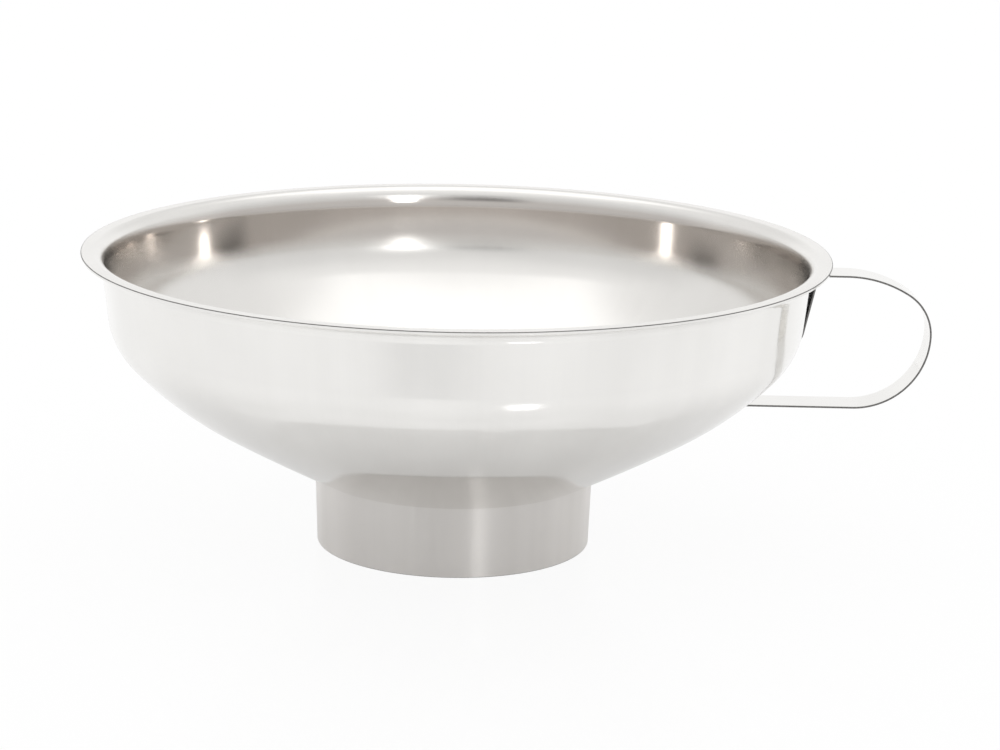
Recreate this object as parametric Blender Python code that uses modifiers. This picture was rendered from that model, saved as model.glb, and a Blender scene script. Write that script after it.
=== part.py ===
"""Canning funnel: a drawn stainless bowl with a flared rim, a short neck and a strap handle.

Metres, +Z up. The funnel's axis is the Z axis, the foot of the neck stands on Z = 0 and the
handle points along +X. The outside of the bowl is drawn as (radius, height) points from a few
tangent arcs, and every other piece takes its place from that outline.
"""
import math

import bpy
from mathutils import Vector

MM = 0.001

# Bowl: one pressing, sized on its outside
RIM_DIAMETER = 146.0 * MM
BOWL_SHEET = 0.6 * MM
FLANGE_WIDTH = 1.0 * MM
FLANGE_BEND_RADIUS = 3.0 * MM
WALL_LENGTH = 9.9 * MM
WALL_LEAN = math.radians(6.7)
CORNER_RADIUS = 13.4 * MM
BELLY_RADIUS = 70.5 * MM
BELLY_END_SLOPE = math.radians(46.7)
DISH_RADIUS = 390.0 * MM
DISH_SLOPE_AT_NECK = math.radians(27.2)

# Neck: a tapered ring under the hole of the bowl
NECK_TOP_DIAMETER = 55.0 * MM
NECK_FOOT_DIAMETER = 54.1 * MM
NECK_HEIGHT = 13.9 * MM
NECK_SHEET = 0.6 * MM
BEAD_WIDTH = 1.2 * MM

# Handle: one strip, its radii measured on the middle of the sheet
STRAP_WIDTH = 8.0 * MM
STRAP_SHEET = 0.6 * MM
STRAP_CORNER_RADIUS = 1.5 * MM
RIM_TO_STRAP = 2.4 * MM
TAB_OPENING = math.radians(5.7)
UPPER_TAB_TAIL = 3.0 * MM
UPPER_BEND_RADIUS = 2.0 * MM
TOP_RUN = 3.6 * MM
SHOULDER_RADIUS = 23.0 * MM
SHOULDER_TURN = math.radians(32.0)
NOSE_RADIUS = 9.6 * MM
HEEL_RADIUS = 14.6 * MM
LOWER_BEND_RADIUS = 4.0 * MM
LOWER_TAB_REACH = 4.6 * MM
LOWER_TAB_TAIL = 3.0 * MM

# Spot welds: two nuggets under each tab
SPOT_DIAMETER = 2.6 * MM
SPOT_PITCH = 4.2 * MM

# Clearances between pieces that touch on the real object
NECK_SEAT_GAP = 0.3 * MM
BEAD_GAP = 0.3 * MM
TAB_SEAT_GAP = 0.4 * MM
SPOT_GAP = 0.1 * MM

# How finely the round shapes are cut
TURN_STEPS = 96
SPOT_SIDES = 20
DISH_STEPS = 4
BELLY_STEPS = 4
CORNER_STEPS = 6
RIM_BEND_STEPS = 6
BEAD_STEPS = 6
STRAP_STEP_ANGLE = math.radians(6.0)
STRAP_CORNER_STEPS = 4
MERGE_DISTANCE = 0.00001
BISECTION_STEPS = 60


def along(slope):
    """Unit vector up a slope, in (radius, height)."""
    return Vector((math.cos(slope), math.sin(slope)))


def outward(slope):
    """Unit normal on the outside of a surface that rises outwards at this slope."""
    return Vector((math.sin(slope), -math.cos(slope)))


def spread(start, end, steps):
    """Evenly spaced values from start to end, both included."""
    return [start + (end - start) * index / steps for index in range(steps + 1)]


class BowlOutline:
    """The outside of the bowl: dish, belly and corner arcs, straight wall and flared rim."""

    def __init__(self):
        self.wall_slope = math.pi / 2 - WALL_LEAN
        self.neck_edge = Vector((NECK_TOP_DIAMETER / 2, NECK_HEIGHT))
        self.dish_centre = self.neck_edge - DISH_RADIUS * outward(DISH_SLOPE_AT_NECK)
        wall_top_radius = (
            RIM_DIAMETER / 2 - FLANGE_WIDTH - FLANGE_BEND_RADIUS * math.sin(self.wall_slope)
        )
        corner_centre_radius = (
            wall_top_radius
            - WALL_LENGTH * math.sin(WALL_LEAN)
            - CORNER_RADIUS * math.sin(self.wall_slope)
        )
        belly_centre_radius = corner_centre_radius - (BELLY_RADIUS - CORNER_RADIUS) * math.sin(BELLY_END_SLOPE)
        self.dish_end_slope = math.asin(
            (belly_centre_radius - self.dish_centre.x) / (DISH_RADIUS - BELLY_RADIUS)
        )
        self.belly_centre = self.dish_centre + (DISH_RADIUS - BELLY_RADIUS) * outward(self.dish_end_slope)
        self.corner_centre = self.belly_centre + (BELLY_RADIUS - CORNER_RADIUS) * outward(BELLY_END_SLOPE)
        wall_foot = self.corner_centre + CORNER_RADIUS * outward(self.wall_slope)
        self.wall_top = wall_foot + WALL_LENGTH * along(self.wall_slope)
        self.bend_centre = self.wall_top + FLANGE_BEND_RADIUS * outward(self.wall_slope)
        self.rim_underside = self.bend_centre.y + FLANGE_BEND_RADIUS

    def surface(self, slope, offset=0.0):
        """Point on the arcs of the bowl where they have this slope, moved out by an offset."""
        if slope <= self.dish_end_slope:
            return self.dish_centre + (DISH_RADIUS + offset) * outward(slope)
        if slope <= BELLY_END_SLOPE:
            return self.belly_centre + (BELLY_RADIUS + offset) * outward(slope)
        return self.corner_centre + (CORNER_RADIUS + offset) * outward(slope)

    def points(self):
        """The outline from the rim down to the hole in the neck."""
        rim = [Vector((RIM_DIAMETER / 2, self.rim_underside))]
        bend = [
            self.bend_centre - FLANGE_BEND_RADIUS * outward(slope)
            for slope in spread(0.0, self.wall_slope, RIM_BEND_STEPS)
        ]
        corner = [
            self.surface(slope)
            for slope in spread(self.wall_slope, BELLY_END_SLOPE, CORNER_STEPS)
        ]
        belly = [
            self.surface(slope)
            for slope in spread(BELLY_END_SLOPE, self.dish_end_slope, BELLY_STEPS)
        ]
        dish = [
            self.surface(slope)
            for slope in spread(self.dish_end_slope, DISH_SLOPE_AT_NECK, DISH_STEPS)
        ]
        seat_width = NECK_SHEET / math.cos(DISH_SLOPE_AT_NECK)
        hole = [self.neck_edge - seat_width * along(DISH_SLOPE_AT_NECK)]
        return rim + bend + corner + belly[1:] + dish[1:] + hole


class StrapPath:
    """The middle of the handle's strip, walked from the end of its upper tab to that of its lower."""

    def __init__(self, outline):
        self.offset = TAB_SEAT_GAP + STRAP_SHEET / 2
        self.upper_slope = outline.wall_slope - TAB_OPENING
        self.upper_seat = outline.surface(self.upper_slope, self.offset)
        top_level = outline.rim_underside - RIM_TO_STRAP - STRAP_SHEET / 2
        bend_rise = UPPER_BEND_RADIUS * (1 - math.cos(self.upper_slope))
        upper_tab_rise = (top_level - bend_rise - self.upper_seat.y) / math.sin(self.upper_slope)
        self.points = [self.upper_seat - UPPER_TAB_TAIL * along(self.upper_slope)]
        self.heading = self.upper_slope
        self.straight(UPPER_TAB_TAIL + upper_tab_rise)
        self.turn(0.0, UPPER_BEND_RADIUS)
        self.straight(TOP_RUN)
        self.turn(-SHOULDER_TURN, SHOULDER_RADIUS)
        self.turn(-math.pi / 2, NOSE_RADIUS)
        self.turn(-math.pi, HEEL_RADIUS)
        bottom_level = self.points[-1].y
        self.lower_slope = self.find_lower_slope(outline, bottom_level)
        self.lower_seat = outline.surface(self.lower_slope, self.offset)
        corner = self.lower_seat + LOWER_TAB_REACH * along(self.lower_slope)
        bend_reach = LOWER_BEND_RADIUS * math.tan(self.lower_slope / 2)
        self.straight(self.points[-1].x - corner.x - bend_reach)
        self.turn(self.lower_slope - math.pi, LOWER_BEND_RADIUS)
        self.straight(LOWER_TAB_REACH - bend_reach + LOWER_TAB_TAIL)

    def straight(self, length):
        """Walk straight on."""
        self.points.append(self.points[-1] + length * along(self.heading))

    def turn(self, heading, radius):
        """Walk round an arc until the path has a new heading."""
        side = math.copysign(1.0, heading - self.heading)
        centre = self.points[-1] - side * radius * outward(self.heading)
        steps = max(1, math.ceil(abs(heading - self.heading) / STRAP_STEP_ANGLE))
        for angle in spread(self.heading, heading, steps)[1:]:
            self.points.append(centre + side * radius * outward(angle))
        self.heading = heading

    def find_lower_slope(self, outline, level):
        """Slope of the bowl where a tab that leaves this level has its seat one reach further on."""
        low = DISH_SLOPE_AT_NECK
        high = outline.wall_slope
        for _ in range(BISECTION_STEPS):
            middle = (low + high) / 2
            seat = outline.surface(middle, self.offset)
            if seat.y + LOWER_TAB_REACH * math.sin(middle) < level:
                low = middle
            else:
                high = middle
        return (low + high) / 2

    def rows(self):
        """Points along the strip with its half width there, narrowed round the corners of its ends."""
        start = self.rounded_end(self.points[0], self.points[1])
        end = self.rounded_end(self.points[-1], self.points[-2])
        middle = [(point, STRAP_WIDTH / 2) for point in self.points[1:-1]]
        return start + middle + end[::-1]

    def rounded_end(self, tip, neighbour):
        """Rows from the tip of a tab to where its corners are done."""
        direction = (neighbour - tip).normalized()
        rows = []
        for angle in spread(0.0, math.pi / 2, STRAP_CORNER_STEPS):
            set_back = STRAP_CORNER_RADIUS * (1 - math.cos(angle))
            trim = STRAP_CORNER_RADIUS * (1 - math.sin(angle))
            rows.append((tip + set_back * direction, STRAP_WIDTH / 2 - trim))
        return rows


def clear_scene():
    """Remove the objects that the file starts with."""
    for item in list(bpy.data.objects):
        bpy.data.objects.remove(item, do_unlink=True)


def steel(name, colour, roughness):
    """Bare stainless steel of one piece."""
    material = bpy.data.materials.new(name)
    material.use_nodes = True
    shader = material.node_tree.nodes["Principled BSDF"]
    shader.inputs["Base Color"].default_value = (*colour, 1.0)
    shader.inputs["Metallic"].default_value = 1.0
    shader.inputs["Roughness"].default_value = roughness
    return material


def add_part(collection, name, mesh, material):
    """Object of one sub-part, in the funnel's collection."""
    part = bpy.data.objects.new(name, mesh)
    part.data.materials.append(material)
    collection.objects.link(part)
    return part


def turned(collection, name, profile, closed, material):
    """Part turned about Z from (radius, height) points that run down its outer side."""
    points = [(point.x, 0.0, point.y) for point in profile]
    edges = [(index, index + 1) for index in range(len(points) - 1)]
    if closed:
        edges.append((len(points) - 1, 0))
    mesh = bpy.data.meshes.new(name)
    mesh.from_pydata(points, edges, [])
    part = add_part(collection, name, mesh, material)
    screw = part.modifiers.new("Turn", "SCREW")
    screw.steps = TURN_STEPS
    screw.render_steps = TURN_STEPS
    screw.use_merge_vertices = True
    screw.merge_threshold = MERGE_DISTANCE
    return part


def add_thickness(part, sheet, offset):
    """Give an open surface the thickness of its sheet."""
    solidify = part.modifiers.new("Sheet", "SOLIDIFY")
    solidify.thickness = sheet
    solidify.offset = offset
    solidify.use_even_offset = True


def make_bowl(collection, outline):
    """Drawn bowl with its flared rim, the sheet lying inside the outline."""
    material = steel("bowl_steel", (0.86, 0.85, 0.83), 0.10)
    bowl = turned(collection, "funnel_bowl", outline.points(), False, material)
    add_thickness(bowl, BOWL_SHEET, -1.0)


def neck_slope():
    """Slope of the collar's side, which is wider at its top."""
    return math.atan2(NECK_HEIGHT, (NECK_TOP_DIAMETER - NECK_FOOT_DIAMETER) / 2)


def neck_radius(height):
    """Outer radius of the tapered collar at a height above its foot."""
    return NECK_FOOT_DIAMETER / 2 + height / math.tan(neck_slope())


def collar_top_drop():
    """How far the collar's top edge lies under the bowl's seat, straight down."""
    return NECK_SEAT_GAP / math.cos(DISH_SLOPE_AT_NECK)


def inner_top_height():
    """Height of the collar's top edge at its bore, where the edge follows the bowl's slope."""
    return NECK_HEIGHT - collar_top_drop() - NECK_SHEET * math.tan(DISH_SLOPE_AT_NECK)


def make_neck(collection):
    """Tapered collar, its top edge cut to the bowl's slope and its foot flat."""
    outer_top = NECK_HEIGHT - collar_top_drop()
    inner_top = inner_top_height()
    profile = [
        Vector((neck_radius(outer_top), outer_top)),
        Vector((neck_radius(0.0), 0.0)),
        Vector((neck_radius(0.0) - NECK_SHEET, 0.0)),
        Vector((neck_radius(inner_top) - NECK_SHEET, inner_top)),
    ]
    material = steel("neck_steel", (0.84, 0.82, 0.80), 0.16)
    turned(collection, "neck_collar", profile, True, material)


def make_neck_weld(collection):
    """Half-round bead of weld along the joint, its flat side along the bore."""
    bead_radius = BEAD_WIDTH / 2
    height = inner_top_height() - bead_radius / 2
    centre = Vector((neck_radius(height) - NECK_SHEET - BEAD_GAP, height))
    out = outward(neck_slope())
    up = along(neck_slope())
    profile = [
        centre - bead_radius * (math.sin(angle) * out + math.cos(angle) * up)
        for angle in spread(0.0, math.pi, BEAD_STEPS)
    ]
    material = steel("weld_steel", (0.72, 0.70, 0.68), 0.35)
    turned(collection, "neck_weld_bead", profile, True, material)


def make_handle(collection, path):
    """Bent strip with round-cornered tabs."""
    points = []
    faces = []
    for point, half_width in path.rows():
        first = len(points)
        points.append((point.x, -half_width, point.y))
        points.append((point.x, half_width, point.y))
        if first:
            faces.append((first - 2, first - 1, first + 1, first))
    mesh = bpy.data.meshes.new("strap_handle")
    mesh.from_pydata(points, [], faces)
    mesh.shade_smooth()
    strap = add_part(collection, "strap_handle", mesh, steel("strap_steel", (0.86, 0.85, 0.84), 0.12))
    add_thickness(strap, STRAP_SHEET, 0.0)


def make_spot_welds(collection, place, seat, slope, strap_offset):
    """Two flat nuggets in the gap between a tab and the bowl, side by side across the strip."""
    middle = seat - (strap_offset - TAB_SEAT_GAP / 2) * outward(slope)
    for side, name in ((-1, "left"), (1, "right")):
        bpy.ops.mesh.primitive_cylinder_add(
            vertices=SPOT_SIDES,
            radius=SPOT_DIAMETER / 2,
            depth=TAB_SEAT_GAP - 2 * SPOT_GAP,
            location=(middle.x, side * SPOT_PITCH / 2, middle.y),
            rotation=(0.0, math.pi - slope, 0.0),
        )
        weld = bpy.context.object
        weld.name = f"{place}_spot_weld_{name}"
        weld.data.materials.append(steel(f"{place}_{name}_weld_steel", (0.62, 0.60, 0.58), 0.40))
        for holder in list(weld.users_collection):
            holder.objects.unlink(weld)
        collection.objects.link(weld)


def main():
    """Build the funnel."""
    clear_scene()
    collection = bpy.data.collections.new("canning_funnel")
    bpy.context.scene.collection.children.link(collection)
    outline = BowlOutline()
    path = StrapPath(outline)
    make_bowl(collection, outline)
    make_neck(collection)
    make_neck_weld(collection)
    make_handle(collection, path)
    make_spot_welds(collection, "upper", path.upper_seat, path.upper_slope, path.offset)
    make_spot_welds(collection, "lower", path.lower_seat, path.lower_slope, path.offset)


main()
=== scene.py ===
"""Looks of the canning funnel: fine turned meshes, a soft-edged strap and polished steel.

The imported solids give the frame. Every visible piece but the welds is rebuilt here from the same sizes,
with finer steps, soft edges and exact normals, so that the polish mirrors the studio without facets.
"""
import math

import bpy
from mathutils import Matrix, Vector


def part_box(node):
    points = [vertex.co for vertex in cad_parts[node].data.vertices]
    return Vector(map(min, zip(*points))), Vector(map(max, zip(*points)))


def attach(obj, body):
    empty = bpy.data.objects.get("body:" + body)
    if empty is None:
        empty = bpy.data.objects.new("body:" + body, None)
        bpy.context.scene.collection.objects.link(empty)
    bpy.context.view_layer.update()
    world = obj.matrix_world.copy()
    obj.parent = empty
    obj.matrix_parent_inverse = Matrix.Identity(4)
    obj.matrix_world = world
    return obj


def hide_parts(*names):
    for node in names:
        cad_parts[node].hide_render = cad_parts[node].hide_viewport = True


MM = 0.001

# Bowl, measured on the outside of the sheet
BOWL_SHEET = 0.6 * MM
FLANGE_WIDTH = 1.0 * MM
FLANGE_BEND_RADIUS = 3.0 * MM
WALL_LENGTH = 9.9 * MM
WALL_LEAN = math.radians(6.7)
CORNER_RADIUS = 13.4 * MM
BELLY_RADIUS = 70.5 * MM
BELLY_END_SLOPE = math.radians(46.7)
DISH_RADIUS = 390.0 * MM
DISH_SLOPE_AT_NECK = math.radians(27.2)
RIM_EDGE_RADIUS = 0.15 * MM

# Inside of the bowl, where the polish shows a tight bend under the lip and a slightly hollow wall
INNER_LIP_WIDTH = 2.05 * MM
INNER_BEND_RADIUS = 2.3 * MM
INNER_BEND_LEAN = math.radians(13.0)
INNER_EASE_RADIUS = 20.0 * MM
INNER_TOP_LEAN = math.radians(5.3)
INNER_WALL_RADIUS = 108.0 * MM
INNER_FOOT_LEAN = math.radians(9.6)
INNER_CORNER_RADIUS = 12.8 * MM
INNER_BELLY_RADIUS = 69.0 * MM

# Neck
NECK_TOP_DIAMETER = 55.0 * MM
NECK_FOOT_DIAMETER = 54.1 * MM
NECK_HEIGHT = 13.9 * MM
NECK_SHEET = 0.6 * MM
NECK_EDGE_RADIUS = 0.15 * MM
NECK_SINK = 0.3 * MM

# Handle strip, its radii measured on the middle of the sheet; it looks thinner than the solid and its
# tabs lie closer to the bowl, and the top run is longer by as much
STRAP_SHEET = 0.36 * MM
STRAP_CORNER_RADIUS = 1.5 * MM
STRAP_EDGE_RADIUS = 0.08 * MM
RIM_TO_STRAP = 2.4 * MM
TAB_SEAT_GAP = 0.06 * MM
TAB_OPENING = math.radians(5.7)
UPPER_TAB_TAIL = 1.5 * MM
UPPER_BEND_RADIUS = 2.0 * MM
TOP_RUN = 4.15 * MM
SHOULDER_RADIUS = 23.0 * MM
SHOULDER_TURN = math.radians(32.0)
NOSE_RADIUS = 9.6 * MM
HEEL_RADIUS = 14.6 * MM
LOWER_BEND_RADIUS = 4.0 * MM
LOWER_TAB_REACH = 4.6 * MM
LOWER_TAB_TAIL = 3.0 * MM

# Fineness of the meshes
TURN_STEPS = 240
FINE_ANGLE = math.radians(1.0)
EDGE_STEPS = 4
WALL_STEPS = 10
NECK_STEP = NECK_HEIGHT / 10
STRAP_STEP = 0.4 * MM
BISECTION_STEPS = 60

# Camera of the photograph
CAMERA_TARGET = Vector((8.80 * MM, 0.0, 33.545 * MM))
CAMERA_DISTANCE = 567.2 * MM
CAMERA_ELEVATION = math.radians(13.773)
CAMERA_ROLL = math.radians(1.207)
CAMERA_LENS = 103.317
CAMERA_SENSOR = 36.0
CAMERA_CLIP_START = 0.01

# Heights between which the bowl changes from its soft dish to its bright wall, and from that to its rim; the
# wall between them also carries a painted shade
WALL_FOOT_CHANGE = (45.5 * MM, 49.5 * MM)
WALL_TOP_CHANGE = (55.8 * MM, 57.2 * MM)
# Painted shade on the inner wall band: a darker, warmer colour factor for the darker reflections there; none
# on the other pieces
NO_PAINTED_SHADE = (1.0, 1.0, 1.0)
WALL_PAINTED_SHADE = (0.765, 0.735, 0.715)

# Patterns in the polish: how fine they are, their shares of the tone, their wear and their relief
NOISE_RANGE = (0.3, 0.7)
LINES_ROUND = 200.0
LINES_UP = 40.0
LINE_SHARE = 0.12
LINE_WEAR = (0.92, 1.10)
LINE_RELIEF = 0.015e-6
DRIFT_SCALE = 55.0
DRIFT_SHARE = 0.38
BAND_SCALE = 5.0
BAND_SHARE = 0.5
WAVE_SCALE = 45.0
WAVE_RELIEF = 1.5e-6
STRAP_LINES = (60.0, 5000.0, 60.0)
STRAP_LINE_SHARE = 0.4
STRAP_WEAR = (0.85, 1.2)
STRAP_RELIEF = 0.2e-6
STRAP_DRIFT_SCALE = 90.0
STRAP_DRIFT_SHARE = 0.6
CUT_MARK_SCALE = 2500.0
CUT_WEAR = (0.8, 1.2)
CUT_RELIEF = 2.0e-6
CUT_RELIEF_STRENGTH = 0.5

# Weld metal
WELD_DARK = (0.44, 0.40, 0.36)
WELD_LIGHT = (0.70, 0.66, 0.60)
WELD_ROUGHNESS = (0.26, 0.44)
WELD_RIPPLES = 120.0
WELD_RELIEF = 0.06e-3
WELD_STAIN_SCALE = 400.0
WELD_STAIN_RANGE = (0.35, 0.65)

# Floor, with the share of plain white that is seen and that the polish mirrors
FLOOR_SIZE = 8.0
FLOOR_COLOUR = (0.98, 0.98, 0.98, 1.0)
FLOOR_WHITE_SEEN = 0.9
FLOOR_WHITE_MIRRORED = 0.12
FLOOR_ROUGHNESS = 0.12
FLOOR_IOR = 2.4

# Studio levels as (height of the direction, brightness), and where one side gives way to the next
FRONT_LEVELS = (
    (0.0, 0.50), (0.035, 0.55), (0.06, 0.74), (0.20, 0.78),
    (0.30, 0.80), (0.50, 0.84), (0.62, 0.92), (0.85, 1.0),
)
SIDE_LEVELS = ((0.0, 0.85), (0.17, 0.90), (0.66, 0.90), (0.85, 0.95))
BACK_LEVELS = ((0.0, 1.0), (0.28, 1.0), (0.40, 0.88), (0.75, 0.84), (0.85, 0.95))
FRONT_TO_SIDE = (-0.2, 0.2)
SIDE_TO_BACK = (0.6, 0.85)

# Soft light overhead, its limits as run over rise
OVERHEAD_LEVEL = 1.35
OVERHEAD_ACROSS = (-0.62, 0.58)
OVERHEAD_DEEP = (-0.36, 0.62)
OVERHEAD_SOFTNESS = 0.10
OVERHEAD_LOWEST = 0.05

# Lamp and dark panel beside the camera, which only the polish shows
LAMP_PLACE = Vector((0.090, -0.224, 0.112))
LAMP_AIM = Vector((0.0, 0.0, 0.04))
LAMP_SIZE = (0.042, 0.044)
LAMP_SOFTNESS = (0.010, 0.010)
LAMP_LEVEL = 8.5
DARK_PLACE = Vector((-0.085, -0.56, 0.195))
DARK_AIM = Vector((-0.085, 0.0, 0.195))
DARK_SIZE = (0.46, 0.11)
DARK_SOFTNESS = (0.20, 0.05)
DARK_LEVEL = 0.12

# Finishes in the material slots of a piece
POLISHED, CUT, OTHER_SIDE = range(3)


def along(slope):
    """Unit vector up a slope, in (radius, height)."""
    return Vector((math.cos(slope), math.sin(slope)))


def outward(slope):
    """Unit normal on the outside of a surface that rises outwards at this slope."""
    return Vector((math.sin(slope), -math.cos(slope)))


def spread(start, end, steps):
    """Evenly spaced values from start to end, both included."""
    return [start + (end - start) * index / steps for index in range(steps + 1)]


def fine_spread(start, end, step):
    """Evenly spaced values that lie no further apart than a step."""
    return spread(start, end, max(1, math.ceil(abs(end - start) / step)))


def quarter(centre, radius, start):
    """Points and normals round a quarter turn, from the direction at a start angle."""
    run = []
    for angle in spread(start, start + math.pi / 2, EDGE_STEPS):
        normal = along(angle)
        run.append((centre + radius * normal, normal))
    return run


class BowlOutline:
    """The outside of the bowl: dish, belly and corner arcs, straight wall and flared rim."""

    def __init__(self, rim_radius):
        self.rim_radius = rim_radius
        self.wall_slope = math.pi / 2 - WALL_LEAN
        self.neck_edge = Vector((NECK_TOP_DIAMETER / 2, NECK_HEIGHT))
        self.dish_centre = self.neck_edge - DISH_RADIUS * outward(DISH_SLOPE_AT_NECK)
        wall_top_radius = rim_radius - FLANGE_WIDTH - FLANGE_BEND_RADIUS * math.sin(self.wall_slope)
        corner_centre_radius = (
            wall_top_radius
            - WALL_LENGTH * math.sin(WALL_LEAN)
            - CORNER_RADIUS * math.sin(self.wall_slope)
        )
        dish_to_belly = DISH_RADIUS - BELLY_RADIUS
        belly_to_corner = BELLY_RADIUS - CORNER_RADIUS
        belly_centre_radius = corner_centre_radius - belly_to_corner * math.sin(BELLY_END_SLOPE)
        self.dish_end_slope = math.asin((belly_centre_radius - self.dish_centre.x) / dish_to_belly)
        self.belly_centre = self.dish_centre + dish_to_belly * outward(self.dish_end_slope)
        self.corner_centre = self.belly_centre + belly_to_corner * outward(BELLY_END_SLOPE)
        self.wall_foot = self.corner_centre + CORNER_RADIUS * outward(self.wall_slope)
        wall_top = self.wall_foot + WALL_LENGTH * along(self.wall_slope)
        self.bend_centre = wall_top + FLANGE_BEND_RADIUS * outward(self.wall_slope)
        self.rim_underside = self.bend_centre.y + FLANGE_BEND_RADIUS

    def surface(self, slope, offset=0.0):
        """Point on the arcs of the bowl where they have this slope, moved out by an offset."""
        if slope <= self.dish_end_slope:
            return self.dish_centre + (DISH_RADIUS + offset) * outward(slope)
        if slope <= BELLY_END_SLOPE:
            return self.belly_centre + (BELLY_RADIUS + offset) * outward(slope)
        return self.corner_centre + (CORNER_RADIUS + offset) * outward(slope)

    def outside(self):
        """Points and normals of the outer side, from the hole up to the edge of the rim."""
        slopes = fine_spread(DISH_SLOPE_AT_NECK, self.dish_end_slope, FINE_ANGLE / 4)
        slopes += fine_spread(self.dish_end_slope, BELLY_END_SLOPE, FINE_ANGLE)[1:]
        slopes += fine_spread(BELLY_END_SLOPE, self.wall_slope, FINE_ANGLE)[1:]
        curve = [(self.surface(slope), outward(slope)) for slope in slopes]
        return self.hole_edge(0.0, 1) + curve + self.rim_run()

    def inside(self):
        """Points and normals of the inner side, from the hole up to the edge of the rim."""
        rim_top = self.rim_underside + BOWL_SHEET
        bend_slope = math.pi / 2 - INNER_BEND_LEAN
        top_slope = math.pi / 2 - INNER_TOP_LEAN
        foot_slope = math.pi / 2 - INNER_FOOT_LEAN
        bend_centre = Vector((self.rim_radius - INNER_LIP_WIDTH, rim_top - INNER_BEND_RADIUS))
        ease_centre = bend_centre + (INNER_EASE_RADIUS - INNER_BEND_RADIUS) * outward(bend_slope)
        wall_centre = ease_centre - (INNER_EASE_RADIUS + INNER_WALL_RADIUS) * outward(top_slope)
        corner_centre = wall_centre + (INNER_WALL_RADIUS - INNER_CORNER_RADIUS) * outward(foot_slope)
        dish_radius = DISH_RADIUS - BOWL_SHEET
        to_corner = corner_centre - self.dish_centre
        reach = dish_radius - INNER_BELLY_RADIUS
        fall = INNER_BELLY_RADIUS - INNER_CORNER_RADIUS
        cosine = (reach**2 + to_corner.length_squared - fall**2) / (2 * reach * to_corner.length)
        bearing = math.atan2(to_corner.y, to_corner.x) - math.acos(cosine)
        belly_centre = self.dish_centre + reach * along(bearing)
        dish_end = bearing + math.pi / 2
        from_belly = corner_centre - belly_centre
        belly_end = math.atan2(from_belly.y, from_belly.x) + math.pi / 2
        arcs = (
            (self.dish_centre, dish_radius, DISH_SLOPE_AT_NECK, dish_end, FINE_ANGLE / 4),
            (belly_centre, INNER_BELLY_RADIUS, dish_end, belly_end, FINE_ANGLE / 2),
            (corner_centre, INNER_CORNER_RADIUS, belly_end, foot_slope, FINE_ANGLE),
            (wall_centre, INNER_WALL_RADIUS, foot_slope, top_slope, FINE_ANGLE / 4),
            (ease_centre, -INNER_EASE_RADIUS, top_slope, bend_slope, FINE_ANGLE / 2),
            (bend_centre, -INNER_BEND_RADIUS, bend_slope, 0.0, 2 * FINE_ANGLE),
        )
        run = []
        for centre, radius, start, end, step in arcs:
            slopes = fine_spread(start, end, step)
            if run:
                slopes = slopes[1:]
            run += [(centre + radius * outward(slope), -outward(slope)) for slope in slopes]
        lip = Vector((self.rim_radius - RIM_EDGE_RADIUS, rim_top))
        return self.hole_edge(-BOWL_SHEET, -1) + run + [(lip, -outward(0.0))]

    def hole_edge(self, offset, side):
        """Where one side of the sheet starts, at the edge of the hole."""
        hole = self.neck_edge - NECK_SHEET / math.cos(DISH_SLOPE_AT_NECK) * along(DISH_SLOPE_AT_NECK)
        return [(hole + offset * outward(DISH_SLOPE_AT_NECK), side * outward(DISH_SLOPE_AT_NECK))]

    def rim_run(self):
        """Straight wall, bend and flat lip of the outer side, without the foot of the wall."""
        top = self.bend_centre - FLANGE_BEND_RADIUS * outward(self.wall_slope)
        shares = spread(0.0, 1.0, WALL_STEPS)[1:]
        run = [(self.wall_foot.lerp(top, share), outward(self.wall_slope)) for share in shares]
        for slope in fine_spread(self.wall_slope, 0.0, 2 * FINE_ANGLE)[1:]:
            run.append((self.bend_centre - FLANGE_BEND_RADIUS * outward(slope), outward(slope)))
        lip = Vector((self.rim_radius - RIM_EDGE_RADIUS, self.rim_underside))
        return run + [(lip, outward(0.0))]

    def section(self):
        """Runs of the sheet's section: outside, edge of the rim, its burr, inside and edge of the hole."""
        outer = self.outside()
        inner = self.inside()[::-1]
        edge_radius = self.rim_radius - RIM_EDGE_RADIUS
        lower = Vector((edge_radius, self.rim_underside + RIM_EDGE_RADIUS))
        upper = Vector((edge_radius, self.rim_underside + BOWL_SHEET - RIM_EDGE_RADIUS))
        # The burr takes the dark edge colour: a thin line of painted shade along the top of the rim
        burr = quarter(upper, RIM_EDGE_RADIUS, 0.0)
        edge = quarter(lower, RIM_EDGE_RADIUS, -math.pi / 2) + [burr[0]]
        facing = -along(DISH_SLOPE_AT_NECK)
        hole = [(inner[-1][0], facing), (outer[0][0], facing)]
        return [(POLISHED, outer), (POLISHED, edge), (CUT, burr), (OTHER_SIDE, inner), (CUT, hole)]


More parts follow.
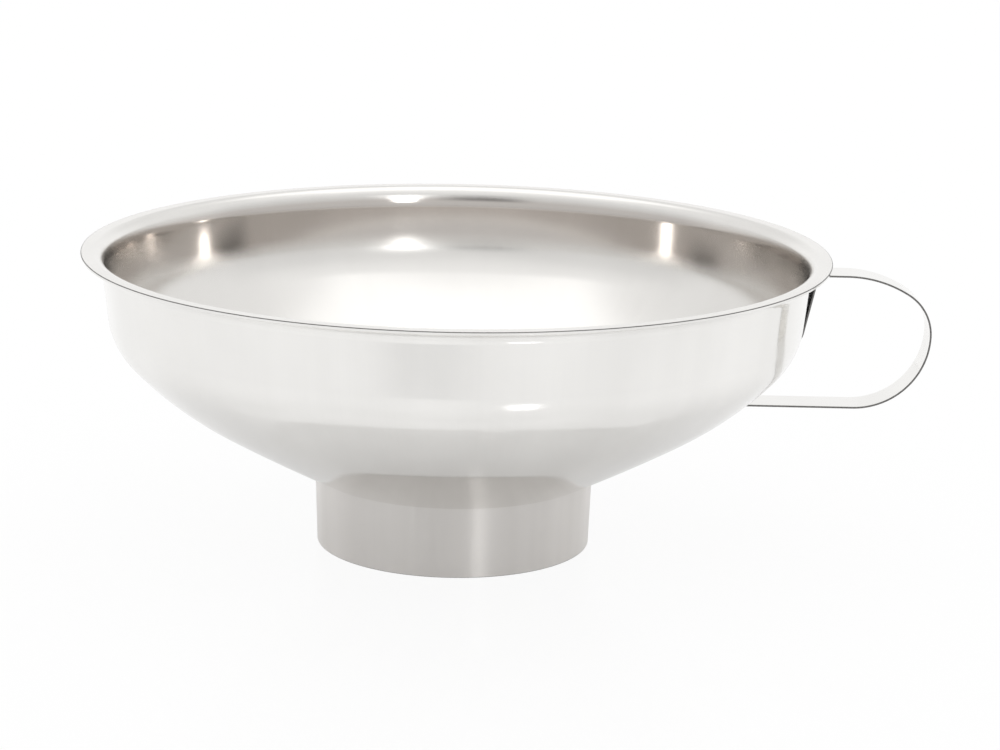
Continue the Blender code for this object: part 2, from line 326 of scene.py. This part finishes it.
class StrapPath:
    """The middle of the handle's strip, walked from the end of its upper tab to that of its lower."""

    def __init__(self, outline, width):
        self.width = width
        offset = TAB_SEAT_GAP + STRAP_SHEET / 2
        upper_slope = outline.wall_slope - TAB_OPENING
        upper_seat = outline.surface(upper_slope, offset)
        top_level = outline.rim_underside - RIM_TO_STRAP - STRAP_SHEET / 2
        bend_rise = UPPER_BEND_RADIUS * (1 - math.cos(upper_slope))
        upper_tab_rise = (top_level - bend_rise - upper_seat.y) / math.sin(upper_slope)
        self.heading = upper_slope
        self.points = [upper_seat - UPPER_TAB_TAIL * along(upper_slope)]
        self.headings = [self.heading]
        self.straight(UPPER_TAB_TAIL + upper_tab_rise)
        self.upper_tab_rows = len(self.points)
        self.turn(0.0, UPPER_BEND_RADIUS)
        self.straight(TOP_RUN)
        self.turn(-SHOULDER_TURN, SHOULDER_RADIUS)
        self.turn(-math.pi / 2, NOSE_RADIUS)
        self.turn(-math.pi, HEEL_RADIUS)
        lower_slope = self.find_lower_slope(outline, offset, self.points[-1].y)
        lower_seat = outline.surface(lower_slope, offset)
        corner = lower_seat + LOWER_TAB_REACH * along(lower_slope)
        bend_reach = LOWER_BEND_RADIUS * math.tan(lower_slope / 2)
        self.straight(self.points[-1].x - corner.x - bend_reach)
        self.turn(lower_slope - math.pi, LOWER_BEND_RADIUS)
        self.straight(LOWER_TAB_REACH - bend_reach + LOWER_TAB_TAIL)

    def straight(self, length):
        """Walk straight on in short steps."""
        start = self.points[-1]
        for run in fine_spread(0.0, length, STRAP_STEP)[1:]:
            self.points.append(start + run * along(self.heading))
            self.headings.append(self.heading)

    def turn(self, heading, radius):
        """Walk round an arc until the path has a new heading."""
        side = math.copysign(1.0, heading - self.heading)
        centre = self.points[-1] - side * radius * outward(self.heading)
        step = min(STRAP_STEP / radius, 4 * FINE_ANGLE)
        for angle in fine_spread(self.heading, heading, step)[1:]:
            self.points.append(centre + side * radius * outward(angle))
            self.headings.append(angle)
        self.heading = heading

    def find_lower_slope(self, outline, offset, level):
        """Slope of the bowl where a tab that leaves this level has its seat one reach further on."""
        low = DISH_SLOPE_AT_NECK
        high = outline.wall_slope
        for _ in range(BISECTION_STEPS):
            middle = (low + high) / 2
            seat = outline.surface(middle, offset)
            if seat.y + LOWER_TAB_REACH * math.sin(middle) < level:
                low = middle
            else:
                high = middle
        return (low + high) / 2

    def half_width(self, point):
        """Half the strip's width at a point, narrowed round the corners of its ends."""
        reach = min((point - self.points[0]).length, (point - self.points[-1]).length)
        set_back = max(0.0, STRAP_CORNER_RADIUS - reach)
        trim = STRAP_CORNER_RADIUS - math.sqrt(STRAP_CORNER_RADIUS**2 - set_back**2)
        return self.width / 2 - trim

    def loop(self, point):
        """Runs of the strip's section at a point, as (across, out) offsets with their normals."""
        across = self.half_width(point) - STRAP_EDGE_RADIUS
        out = STRAP_SHEET / 2 - STRAP_EDGE_RADIUS
        right = quarter(Vector((across, -out)), STRAP_EDGE_RADIUS, -math.pi / 2)
        right += quarter(Vector((across, out)), STRAP_EDGE_RADIUS, 0.0)
        left = quarter(Vector((-across, out)), STRAP_EDGE_RADIUS, math.pi / 2)
        left += quarter(Vector((-across, -out)), STRAP_EDGE_RADIUS, math.pi)
        towards_bowl = [left[-1], right[0]]
        away = [right[-1], left[0]]
        return [(POLISHED, towards_bowl), (CUT, right), (POLISHED, away), (CUT, left)]


class PieceMesh:
    """Points and faces of a piece, with a normal for every corner and a finish for every face."""

    def __init__(self):
        self.points = []
        self.faces = []
        self.normals = []
        self.finishes = []

    def face(self, corners, normals, finish):
        """One face, its corners counterclockwise from outside."""
        self.faces.append(corners)
        self.normals += normals
        self.finishes.append(finish)

    def add_to_scene(self, name, materials, slot, *nodes):
        """Object that rides on the part and stands for CAD nodes."""
        mesh = bpy.data.meshes.new(name)
        mesh.from_pydata(self.points, [], self.faces)
        mesh.shade_smooth()
        for material in materials:
            mesh.materials.append(material)
        mesh.polygons.foreach_set("material_index", self.finishes)
        mesh.normals_split_custom_set(self.normals)
        piece = bpy.data.objects.new(name, mesh)
        bpy.context.scene.collection.objects.link(piece)
        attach(piece, "root")
        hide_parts(*nodes)


def section_strips(runs):
    """Points of a closed section, and its strips as (start, end, start normal, end normal, finish)."""
    points = []
    strips = []
    count = sum(len(run) - 1 for _, run in runs)
    for finish, run in runs:
        for (point, normal), (_, next_normal) in zip(run, run[1:]):
            start = len(points)
            strips.append((start, (start + 1) % count, normal, next_normal, finish))
            points.append(point)
    return points, strips


def turned(runs):
    """Mesh turned about Z from the runs of a closed (radius, height) section."""
    section, strips = section_strips(runs)
    turned_mesh = PieceMesh()
    turns = [Matrix.Rotation(2 * math.pi * step / TURN_STEPS, 3, "Z") for step in range(TURN_STEPS)]
    for turn in turns:
        turned_mesh.points += [turn @ Vector((point.x, 0.0, point.y)) for point in section]
    for step, turn in enumerate(turns):
        next_step = (step + 1) % TURN_STEPS
        here = step * len(section)
        there = next_step * len(section)
        for start, end, normal, next_normal, finish in strips:
            low = Vector((normal.x, 0.0, normal.y))
            high = Vector((next_normal.x, 0.0, next_normal.y))
            turned_mesh.face(
                (here + start, there + start, there + end, here + end),
                [turn @ low, turns[next_step] @ low, turns[next_step] @ high, turn @ high],
                finish,
            )
    return turned_mesh


def neck_radius(height):
    """Outer radius of the tapered collar at a height above its foot."""
    taper = (NECK_TOP_DIAMETER - NECK_FOOT_DIAMETER) / 2 / NECK_HEIGHT
    return NECK_FOOT_DIAMETER / 2 + taper * height


def neck_section():
    """Runs of the collar's section: outside, top let into the bowl, bore and soft-edged foot."""
    outer_top = NECK_HEIGHT + NECK_SINK
    inner_top = outer_top - NECK_SHEET * math.tan(DISH_SLOPE_AT_NECK)
    slope = math.atan2(NECK_HEIGHT, (NECK_TOP_DIAMETER - NECK_FOOT_DIAMETER) / 2)
    outer = [
        (Vector((neck_radius(height), height)), outward(slope))
        for height in fine_spread(NECK_EDGE_RADIUS, outer_top, NECK_STEP)
    ]
    inner = [
        (Vector((neck_radius(height) - NECK_SHEET, height)), -outward(slope))
        for height in fine_spread(inner_top, NECK_EDGE_RADIUS, NECK_STEP)
    ]
    up = -outward(DISH_SLOPE_AT_NECK)
    top = [(outer[-1][0], up), (inner[0][0], up)]
    inner_edge = Vector((neck_radius(0.0) - NECK_SHEET + NECK_EDGE_RADIUS, NECK_EDGE_RADIUS))
    outer_edge = Vector((neck_radius(0.0) - NECK_EDGE_RADIUS, NECK_EDGE_RADIUS))
    foot = quarter(inner_edge, NECK_EDGE_RADIUS, math.pi)
    foot += quarter(outer_edge, NECK_EDGE_RADIUS, -math.pi / 2)
    return [(POLISHED, outer), (CUT, top), (POLISHED, inner), (CUT, foot)]


def strap_mesh(path):
    """Strip swept along its path, its side towards the bowl behind the upper tab given a near-black painted
    shade.
    """
    mesh = PieceMesh()
    rows = []
    for point, heading in zip(path.points, path.headings):
        section, strips = section_strips(path.loop(point))
        out = outward(heading)
        frame_3d = Matrix(((0.0, out.x, 0.0), (1.0, 0.0, 0.0), (0.0, out.y, 0.0)))
        rows.append((frame_3d, strips))
        for offset in section:
            place = frame_3d @ Vector((offset.x, offset.y, 0.0))
            mesh.points.append(place + Vector((point.x, 0.0, point.y)))
    count = len(rows[0][1])
    for row in range(1, len(rows)):
        (last_frame, strips), (this_frame, _) = rows[row - 1], rows[row]
        here = (row - 1) * count
        there = row * count
        for start, end, normal, next_normal, finish in strips:
            # Faces towards the bowl behind the upper tab get a near-black painted shade for the dark crevice
            # between tab and bowl
            behind = finish == POLISHED and normal.y < 0 and row <= path.upper_tab_rows
            low = Vector((normal.x, normal.y, 0.0))
            high = Vector((next_normal.x, next_normal.y, 0.0))
            mesh.face(
                (here + start, there + start, there + end, here + end),
                [last_frame @ low, this_frame @ low, this_frame @ high, last_frame @ high],
                OTHER_SIDE if behind else finish,
            )
    ends = ((0, path.headings[0] + math.pi, True), (len(rows) - 1, path.headings[-1], False))
    for row, heading, backwards in ends:
        corners = [row * count + index for index in range(count)]
        facing = along(heading)
        normals = [Vector((facing.x, 0.0, facing.y))] * count
        mesh.face(corners if backwards else corners[::-1], normals, CUT)
    return mesh


class Nodes:
    """Short hand for building a node tree."""

    def __init__(self, tree):
        self.tree = tree

    def add(self, kind, inputs, **settings):
        """Node of a kind, with settings and with inputs that are values or other nodes' outputs."""
        node = self.tree.nodes.new(kind)
        for name, value in settings.items():
            setattr(node, name, value)
        for name, value in inputs.items():
            self.feed(node.inputs[name], value)
        return node

    def feed(self, socket, value):
        """Give an input socket a value or a link."""
        if isinstance(value, bpy.types.NodeSocket):
            self.tree.links.new(value, socket)
        else:
            socket.default_value = value

    def math(self, operation, *values):
        """Result of a maths operation."""
        return self.add("ShaderNodeMath", dict(enumerate(values)), operation=operation).outputs[0]

    def vector(self, operation, *values):
        """Result of a maths operation on vectors."""
        return self.add("ShaderNodeVectorMath", dict(enumerate(values)), operation=operation).outputs[0]

    def smooth(self, value, start, end, low=0.0, high=1.0):
        """Value carried over smoothly from one range to another."""
        inputs = {"Value": value, "From Min": start, "From Max": end, "To Min": low, "To Max": high}
        return self.add("ShaderNodeMapRange", inputs, interpolation_type="SMOOTHSTEP").outputs["Result"]

    def linear(self, value, start, end, low, high):
        """Value carried over evenly from one range to another."""
        inputs = {"Value": value, "From Min": start, "From Max": end, "To Min": low, "To Max": high}
        return self.add("ShaderNodeMapRange", inputs).outputs["Result"]

    def between(self, value, limits, softness):
        """One between two soft limits, and nothing outside them."""
        low, high = limits
        rise = self.smooth(value, low - softness, low + softness)
        fall = self.smooth(value, high - softness, high + softness, 1.0, 0.0)
        return self.math("MULTIPLY", rise, fall)

    def blend(self, share, first, second):
        """Value between two others."""
        return self.add("ShaderNodeMix", {0: share, 2: first, 3: second}, data_type="FLOAT").outputs[0]

    def noise(self, vector, scale, detail):
        """Noise about the middle value a half."""
        inputs = {"Vector": vector, "Scale": scale, "Detail": detail, "Roughness": 0.5}
        return self.add("ShaderNodeTexNoise", inputs).outputs["Fac"]

    def tone(self, value, dark, light):
        """Colour between two others."""
        inputs = {0: value, 6: (*dark, 1.0), 7: (*light, 1.0)}
        return self.add("ShaderNodeMix", inputs, data_type="RGBA").outputs[2]

    def relief(self, height, distance, strength=1.0, **under):
        """Normal of a surface with a fine relief, on top of another relief where one is given."""
        inputs = {"Height": height, "Distance": distance, "Strength": strength, **under}
        return self.add("ShaderNodeBump", inputs).outputs[0]


def new_material(name):
    """Material with its node builder and its main shader."""
    material = bpy.data.materials.new(name)
    material.use_nodes = True
    return material, Nodes(material.node_tree), material.node_tree.nodes["Principled BSDF"]


def round_coordinates(nodes):
    """Place on a turned piece, as it is and as a direction round the axis and a height."""
    place = nodes.add("ShaderNodeTexCoord", {}).outputs["Object"]
    split = nodes.add("ShaderNodeSeparateXYZ", {0: place}).outputs
    flat = nodes.add("ShaderNodeCombineXYZ", {0: split[0], 1: split[1]}).outputs[0]
    return place, nodes.vector("NORMALIZE", flat), split[2]


def round_steel(name, *, dark, light, soft, bright, wall_painted_shade, metallic, stretch, grain):
    """Turned steel: a soft polish, bright on the wall and darkened there by painted shade, with fine lines,
    bands and waves.
    """
    material, nodes, shader = new_material(name)
    place, direction, height = round_coordinates(nodes)
    rise = nodes.add("ShaderNodeCombineXYZ", {2: nodes.math("MULTIPLY", height, LINES_UP)}).outputs[0]
    lines_at = nodes.vector("MULTIPLY_ADD", direction, (LINES_ROUND,) * 3, rise)
    lines = nodes.noise(lines_at, 1.0, detail=3.0)
    bands = nodes.noise(direction, BAND_SCALE, detail=2.0)
    drift = nodes.noise(place, DRIFT_SCALE, detail=3.0)
    waves = nodes.noise(place, WAVE_SCALE, detail=1.0)
    tone_mix = nodes.math("MULTIPLY", drift, DRIFT_SHARE)
    tone_mix = nodes.math("MULTIPLY_ADD", lines, LINE_SHARE, tone_mix)
    tone_mix = nodes.math("MULTIPLY_ADD", bands, BAND_SHARE, tone_mix)
    tone = nodes.tone(nodes.smooth(tone_mix, *NOISE_RANGE), dark, light)
    above_foot = nodes.smooth(height, *WALL_FOOT_CHANGE)
    below_rim = nodes.smooth(height, *WALL_TOP_CHANGE, 1.0, 0.0)
    on_wall = nodes.math("MULTIPLY", above_foot, below_rim)
    # Painted shade: the base colour is darkened and warmed on the wall band
    tint_and_painted_shade = nodes.tone(on_wall, NO_PAINTED_SHADE, wall_painted_shade)
    nodes.feed(shader.inputs["Base Color"], nodes.vector("MULTIPLY", tone, tint_and_painted_shade))
    polish = nodes.blend(on_wall, soft, bright)
    wear = nodes.linear(lines, *NOISE_RANGE, *LINE_WEAR)
    nodes.feed(shader.inputs["Roughness"], nodes.math("MULTIPLY", polish, wear))
    line_relief = nodes.relief(lines, LINE_RELIEF)
    nodes.feed(shader.inputs["Normal"], nodes.relief(waves, WAVE_RELIEF, Normal=line_relief))
    shader.inputs["Metallic"].default_value = metallic
    shader.inputs["Anisotropic"].default_value = stretch
    shader.inputs["Anisotropic Rotation"].default_value = grain
    tangent = nodes.add("ShaderNodeTangent", {}, direction_type="RADIAL", axis="Z").outputs[0]
    nodes.feed(shader.inputs["Tangent"], tangent)
    return material


def strap_steel(name, *, dark, light, roughness):
    """Polished strip: fine lines along its length and a slight drift of tone."""
    material, nodes, shader = new_material(name)
    place = nodes.add("ShaderNodeTexCoord", {}).outputs["Object"]
    lines = nodes.noise(nodes.vector("MULTIPLY", place, STRAP_LINES), 1.0, detail=3.0)
    drift = nodes.noise(place, STRAP_DRIFT_SCALE, detail=3.0)
    tone_mix = nodes.math("MULTIPLY", drift, STRAP_DRIFT_SHARE)
    tone_mix = nodes.math("MULTIPLY_ADD", lines, STRAP_LINE_SHARE, tone_mix)
    nodes.feed(shader.inputs["Base Color"], nodes.tone(nodes.smooth(tone_mix, *NOISE_RANGE), dark, light))
    least_wear, most_wear = STRAP_WEAR
    wear = nodes.linear(lines, *NOISE_RANGE, roughness * least_wear, roughness * most_wear)
    nodes.feed(shader.inputs["Roughness"], wear)
    nodes.feed(shader.inputs["Normal"], nodes.relief(lines, STRAP_RELIEF))
    shader.inputs["Metallic"].default_value = 1.0
    return material


def cut_steel(name, *, dark, light, roughness):
    """Sheared edge, or a face that carries painted shade: rough, with fine marks, in the colours given."""
    material, nodes, shader = new_material(name)
    place = nodes.add("ShaderNodeTexCoord", {}).outputs["Object"]
    marks = nodes.noise(place, CUT_MARK_SCALE, detail=3.0)
    nodes.feed(shader.inputs["Base Color"], nodes.tone(nodes.smooth(marks, *NOISE_RANGE), dark, light))
    least_wear, most_wear = CUT_WEAR
    wear = nodes.linear(marks, *NOISE_RANGE, roughness * least_wear, roughness * most_wear)
    nodes.feed(shader.inputs["Roughness"], wear)
    nodes.feed(shader.inputs["Normal"], nodes.relief(marks, CUT_RELIEF, CUT_RELIEF_STRENGTH))
    shader.inputs["Metallic"].default_value = 1.0
    return material


def weld_steel(name):
    """Weld metal: rippled, with straw and grey heat tints."""
    material, nodes, shader = new_material(name)
    place, direction, _ = round_coordinates(nodes)
    ripples = nodes.noise(nodes.vector("MULTIPLY", direction, (WELD_RIPPLES,) * 3), 1.0, detail=1.0)
    stain = nodes.noise(place, WELD_STAIN_SCALE, detail=4.0)
    tint_and_painted_shade = nodes.tone(nodes.smooth(stain, *WELD_STAIN_RANGE), WELD_DARK, WELD_LIGHT)
    nodes.feed(shader.inputs["Base Color"], tint_and_painted_shade)
    nodes.feed(shader.inputs["Roughness"], nodes.linear(stain, *NOISE_RANGE, *WELD_ROUGHNESS))
    nodes.feed(shader.inputs["Normal"], nodes.relief(ripples, WELD_RELIEF))
    shader.inputs["Metallic"].default_value = 1.0
    return material


def dress_welds(nodes_by_name, material):
    """Give the weld solids, which keep their shape, the look of weld metal."""
    for name, node in nodes_by_name.items():
        if "weld" in name:
            node.data.materials.clear()
            node.data.materials.append(material)


def make_camera():
    """Camera at the photograph's place, with its slight roll."""
    forward = Vector((0.0, math.cos(CAMERA_ELEVATION), -math.sin(CAMERA_ELEVATION)))
    level_right = Vector((1.0, 0.0, 0.0))
    level_up = level_right.cross(forward)
    right = math.cos(CAMERA_ROLL) * level_right + math.sin(CAMERA_ROLL) * level_up
    up = math.cos(CAMERA_ROLL) * level_up - math.sin(CAMERA_ROLL) * level_right
    data = bpy.data.cameras.new("camera")
    data.lens = CAMERA_LENS
    data.sensor_width = CAMERA_SENSOR
    data.clip_start = CAMERA_CLIP_START
    camera = bpy.data.objects.new("camera", data)
    turn_matrix = Matrix((right, up, -forward)).transposed().to_4x4()
    camera.matrix_world = Matrix.Translation(CAMERA_TARGET - CAMERA_DISTANCE * forward) @ turn_matrix
    bpy.context.scene.collection.objects.link(camera)
    bpy.context.scene.camera = camera


def flat_card(name, width, height, material):
    """Flat card about its own middle."""
    x = width / 2
    y = height / 2
    mesh = bpy.data.meshes.new(name)
    mesh.from_pydata([(-x, -y, 0.0), (x, -y, 0.0), (x, y, 0.0), (-x, y, 0.0)], [], [(0, 1, 2, 3)])
    mesh.materials.append(material)
    card = bpy.data.objects.new(name, mesh)
    bpy.context.scene.collection.objects.link(card)
    return card


def set_surface(material, nodes, shader):
    """Make a shader the surface of a material."""
    nodes.feed(material.node_tree.nodes["Material Output"].inputs["Surface"], shader)


def make_floor():
    """Plain white floor that keeps the object's shadow."""
    material, nodes, shader = new_material("floor_white")
    shader.inputs["Base Color"].default_value = FLOOR_COLOUR
    shader.inputs["Roughness"].default_value = FLOOR_ROUGHNESS
    shader.inputs["IOR"].default_value = FLOOR_IOR
    ray = nodes.add("ShaderNodeLightPath", {}).outputs
    mirrored = nodes.math("ADD", ray["Is Glossy Ray"], ray["Is Transmission Ray"])
    seen = nodes.math("MULTIPLY", ray["Is Camera Ray"], FLOOR_WHITE_SEEN)
    share = nodes.math("MULTIPLY_ADD", mirrored, FLOOR_WHITE_MIRRORED, seen)
    glow = nodes.add("ShaderNodeEmission", {}).outputs[0]
    mix = nodes.add("ShaderNodeMixShader", {0: share, 1: shader.outputs[0], 2: glow}).outputs[0]
    set_surface(material, nodes, mix)
    floor = flat_card("floor", FLOOR_SIZE, FLOOR_SIZE, material)


def make_world():
    """Studio: white backdrop behind, a large soft light overhead and a greyer room towards the camera."""
    world = bpy.data.worlds.new("studio")
    bpy.context.scene.world = world
    world.use_nodes = True
    nodes = Nodes(world.node_tree)
    direction = nodes.add("ShaderNodeTexCoord", {}).outputs["Generated"]
    x, y, z = nodes.add("ShaderNodeSeparateXYZ", {0: direction}).outputs
    front = level_ramp(nodes, z, FRONT_LEVELS)
    side = level_ramp(nodes, z, SIDE_LEVELS)
    back = level_ramp(nodes, z, BACK_LEVELS)
    room = nodes.blend(nodes.smooth(y, *FRONT_TO_SIDE), front, side)
    room = nodes.blend(nodes.smooth(y, *SIDE_TO_BACK), room, back)
    above = nodes.math("MAXIMUM", z, OVERHEAD_LOWEST)
    across = nodes.between(nodes.math("DIVIDE", x, above), OVERHEAD_ACROSS, OVERHEAD_SOFTNESS)
    deep = nodes.between(nodes.math("DIVIDE", y, above), OVERHEAD_DEEP, OVERHEAD_SOFTNESS)
    level = nodes.blend(nodes.math("MULTIPLY", across, deep), room, OVERHEAD_LEVEL)
    ray = nodes.add("ShaderNodeLightPath", {}).outputs
    level = nodes.blend(ray["Is Camera Ray"], level, 1.0)
    background = world.node_tree.nodes["Background"]
    nodes.feed(background.inputs["Strength"], level)
    background.inputs["Color"].default_value = (1.0, 1.0, 1.0, 1.0)


def level_ramp(nodes, value, levels):
    """Brightness that follows a value through a few levels."""
    node = nodes.add("ShaderNodeFloatCurve", {"Value": value})
    curve = node.mapping.curves[0]
    top = max(level for _, level in levels)
    curve.points[0].location = (levels[0][0], levels[0][1] / top)
    curve.points[1].location = (levels[-1][0], levels[-1][1] / top)
    for position, level in levels[1:-1]:
        curve.points.new(position, level / top)
    node.mapping.update()
    return nodes.math("MULTIPLY", node.outputs[0], top)


def make_panel(name, centre, aim, size, softness, level):
    """Soft-edged panel of one brightness, which only the polish shows."""
    material, nodes, _ = new_material(name)
    place = nodes.add("ShaderNodeTexCoord", {}).outputs["Object"]
    x, y, _ = nodes.add("ShaderNodeSeparateXYZ", {0: place}).outputs
    shares = []
    for position, length, fade in zip((x, y), size, softness):
        off_middle = nodes.math("ABSOLUTE", position)
        shares.append(nodes.smooth(off_middle, length / 2 - fade, length / 2, 1.0, 0.0))
    share = nodes.math("MULTIPLY", *shares)
    glow = nodes.add("ShaderNodeEmission", {"Strength": level}).outputs[0]
    clear = nodes.add("ShaderNodeBsdfTransparent", {}).outputs[0]
    mix = nodes.add("ShaderNodeMixShader", {0: share, 1: clear, 2: glow}).outputs[0]
    set_surface(material, nodes, mix)
    panel = flat_card(name, *size, material)
    turn = (aim - centre).to_track_quat("Z", "Y")
    panel.matrix_world = Matrix.Translation(centre) @ turn.to_matrix().to_4x4()
    panel.visible_camera = False
    panel.visible_diffuse = False
    panel.visible_shadow = False


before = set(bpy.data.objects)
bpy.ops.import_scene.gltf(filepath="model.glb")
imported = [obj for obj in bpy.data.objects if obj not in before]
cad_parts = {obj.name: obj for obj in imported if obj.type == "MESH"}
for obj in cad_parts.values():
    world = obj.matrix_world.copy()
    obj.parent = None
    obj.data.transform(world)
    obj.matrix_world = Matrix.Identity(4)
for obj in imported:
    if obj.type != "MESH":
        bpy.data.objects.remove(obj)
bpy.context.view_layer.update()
bowl_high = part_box("funnel_bowl")[1]
strap_low, strap_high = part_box("strap_handle")
outline = BowlOutline(bowl_high.x)
neck_edge = cut_steel("neck_edge", dark=(0.42, 0.41, 0.40), light=(0.52, 0.51, 0.50), roughness=0.30)
# Rough cut edges of the sheet; their near-black colour is painted shade, for the dark lines along the top of
# the rim and along the strap's edges
sheet_edge_painted_shade = cut_steel("sheet_edge_painted_shade", dark=(0.14, 0.135, 0.13), light=(0.22, 0.215, 0.21), roughness=0.35)
# Near-black painted shade for the crevice behind the handle's upper tab
weld_scale = cut_steel("weld_scale", dark=(0.010, 0.010, 0.010), light=(0.025, 0.023, 0.020), roughness=0.6)
strap_polish = strap_steel("strap_polish", dark=(0.82, 0.81, 0.79), light=(0.86, 0.85, 0.83), roughness=0.09)
outer_polish = round_steel(
    "outer_polish",
    dark=(0.84, 0.83, 0.81),
    light=(0.90, 0.89, 0.87),
    soft=0.11,
    bright=0.08,
    wall_painted_shade=NO_PAINTED_SHADE,
    metallic=1.0,
    stretch=0.5,
    grain=0.0,
)
inner_polish = round_steel(
    "inner_polish",
    dark=(0.815, 0.800, 0.775),
    light=(0.855, 0.840, 0.815),
    soft=0.24,
    bright=0.085,
    wall_painted_shade=WALL_PAINTED_SHADE,
    metallic=0.9,
    stretch=0.0,
    grain=0.0,
)
neck_polish = round_steel(
    "neck_polish",
    dark=(0.77, 0.745, 0.72),
    light=(0.83, 0.805, 0.78),
    soft=0.40,
    bright=0.40,
    wall_painted_shade=NO_PAINTED_SHADE,
    metallic=1.0,
    stretch=0.9,
    grain=0.25,
)
bowl = turned(outline.section())
bowl.add_to_scene("bowl_shell", [outer_polish, sheet_edge_painted_shade, inner_polish], "bowl_steel", "funnel_bowl")
turned(neck_section()).add_to_scene("neck_ring", [neck_polish, neck_edge], "neck_steel", "neck_collar")
strap = strap_mesh(StrapPath(outline, strap_high.y - strap_low.y))
strap.add_to_scene("handle_strap", [strap_polish, sheet_edge_painted_shade, weld_scale], "strap_steel", "strap_handle")
dress_welds(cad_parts, weld_steel("weld_metal"))
make_floor()
make_world()
make_panel("lamp", LAMP_PLACE, LAMP_AIM, LAMP_SIZE, LAMP_SOFTNESS, LAMP_LEVEL)
make_panel("camera_dark", DARK_PLACE, DARK_AIM, DARK_SIZE, DARK_SOFTNESS, DARK_LEVEL)
make_camera()
bpy.context.scene.view_settings.view_transform = "Standard"
